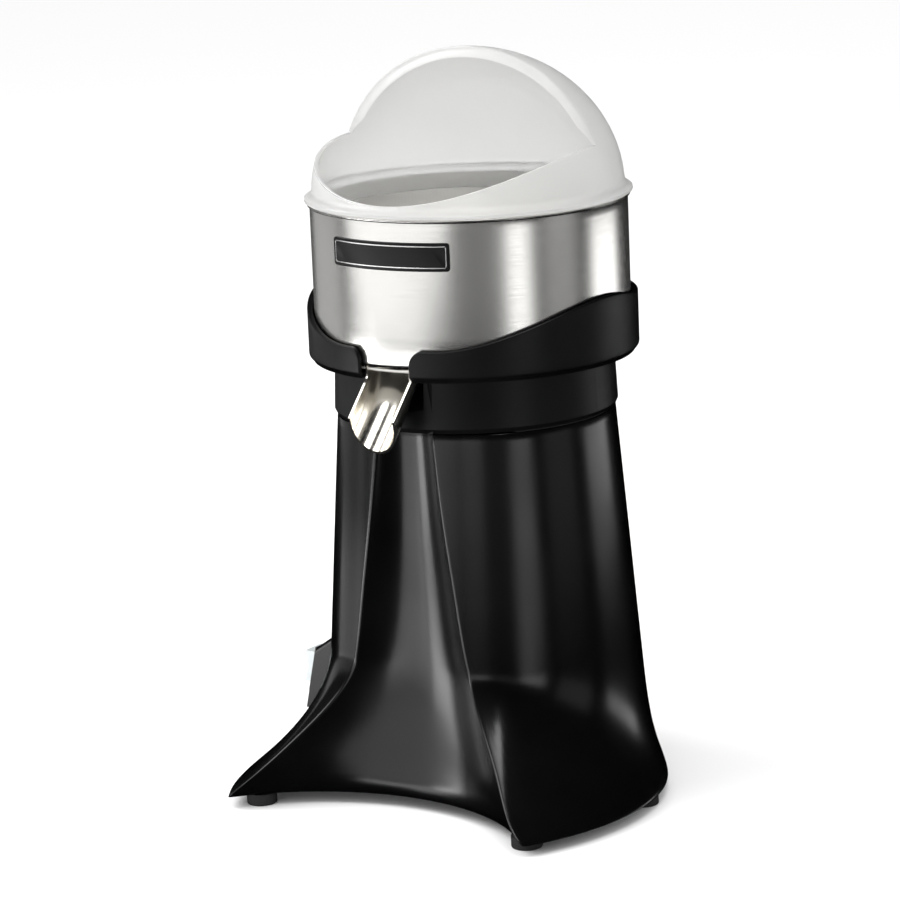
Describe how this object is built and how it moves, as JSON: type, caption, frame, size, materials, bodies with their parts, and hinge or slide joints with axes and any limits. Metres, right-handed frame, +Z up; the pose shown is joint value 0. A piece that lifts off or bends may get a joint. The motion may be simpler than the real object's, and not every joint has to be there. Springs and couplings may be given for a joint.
{
  "type": "citrus juicer",
  "caption": "Motor-driven citrus juicer: cast pedestal with spread legs, cradled steel bowl with open spout, strainer and reamer under a scooped hood.",
  "frame": {"origin": "middle of the bounding box, on the surface the feet stand on", "axes": "+Z up along the drive axis, -Y towards the spout, +X to the right seen from the spout"},
  "size_m": [0.3028, 0.2804, 0.5079],
  "materials": {
    "black_paint": "semi-gloss powder coat on a casting",
    "charcoal_plastic": "fine matte texture",
    "brushed_steel": "brushed round the drive axis",
    "polished_steel": "polished sheet steel",
    "frosted_plastic": "frosted white, slightly translucent",
    "white_nylon": "moulded",
    "badge_black": "gloss enamel, blank",
    "badge_silver": "satin frame line",
    "black_rubber": "moulded",
    "zinc_steel": "zinc plated",
    "shaft_steel": "ground",
    "bearing_steel": "polished",
    "lamination_steel": "varnished stack",
    "copper_winding": "enamelled wire",
    "cast_aluminium": "as cast",
    "black_plastic": "moulded",
    "pale_plastic": "pale grey"
  },
  "bodies": {
    "base": {"base_housing": "black_paint", "base_plate": "zinc_steel", "rubber_feet": "black_rubber", "foot_screws": "zinc_steel", "plate_screws": "zinc_steel", "neck_ring": "charcoal_plastic", "neck_gasket": "black_rubber", "neck_screws": "zinc_steel", "bowl_collar": "charcoal_plastic", "collar_screws": "zinc_steel", "bowl_pads": "black_rubber", "shaft_seal": "black_rubber", "stator_core": "lamination_steel", "stator_windings": "copper_winding", "upper_end_bell": "cast_aluminium", "lower_end_bell": "cast_aluminium", "upper_bearing": "bearing_steel", "lower_bearing": "bearing_steel", "through_bolts": "zinc_steel", "motor_bracket": "zinc_steel", "motor_isolators": "black_rubber", "motor_screws": "zinc_steel", "capacitor": "cast_aluminium", "capacitor_clamp": "zinc_steel", "terminal_block": "black_plastic", "switch_box": "black_paint", "rocker_housing": "black_plastic", "rocker_pin": "zinc_steel", "cord_gland": "black_plastic"},
    "motor_rotor": {"drive_shaft": "shaft_steel", "rotor_core": "lamination_steel", "cooling_fan": "black_plastic", "slinger": "shaft_steel"},
    "bowl": {"juice_bowl": "brushed_steel", "spindle_bushing": "white_nylon", "strainer_rests": "brushed_steel", "pour_spout": "polished_steel", "badge_plate": "badge_black", "badge_frame": "badge_silver"},
    "strainer_basket": {"strainer": "brushed_steel"},
    "spindle": {"drive_spindle": "shaft_steel"},
    "reamer_cone": {"reamer": "white_nylon"},
    "dome": {"splash_dome": "frosted_plastic"},
    "rocker": {"rocker_button": "pale_plastic"}
  },
  "joints": [
    {"name": "motor_spin", "type": "hinge", "parent": "base", "child": "motor_rotor", "pos_m": [0, 0.01445, 0.2], "axis": [0, 0, 1], "continuous": true},
    {"name": "bowl_lift", "type": "slide", "parent": "base", "child": "bowl", "axis": [0, 0, 1], "range_m": [0, 0.12]},
    {"name": "strainer_lift", "type": "slide", "parent": "bowl", "child": "strainer_basket", "axis": [0, 0, 1], "range_m": [0, 0.09]},
    {"name": "spindle_spin", "type": "hinge", "parent": "strainer_basket", "child": "spindle", "pos_m": [0, 0.01445, 0.33], "axis": [0, 0, 1], "continuous": true},
    {"name": "reamer_lift", "type": "slide", "parent": "spindle", "child": "reamer_cone", "axis": [0, 0, 1], "range_m": [0, 0.04]},
    {"name": "dome_lift", "type": "slide", "parent": "strainer_basket", "child": "dome", "axis": [0, 0, 1], "range_m": [0, 0.1]},
    {"name": "rocker_press", "type": "hinge", "parent": "base", "child": "rocker", "pos_m": [-0.13779, 0.01445, 0.062], "axis": [0, 1, 0], "range_deg": [0, 18]}
  ],
  "couplings": [
    {"joint": "spindle_spin", "follows": "motor_spin", "ratio": 1}
  ]
}
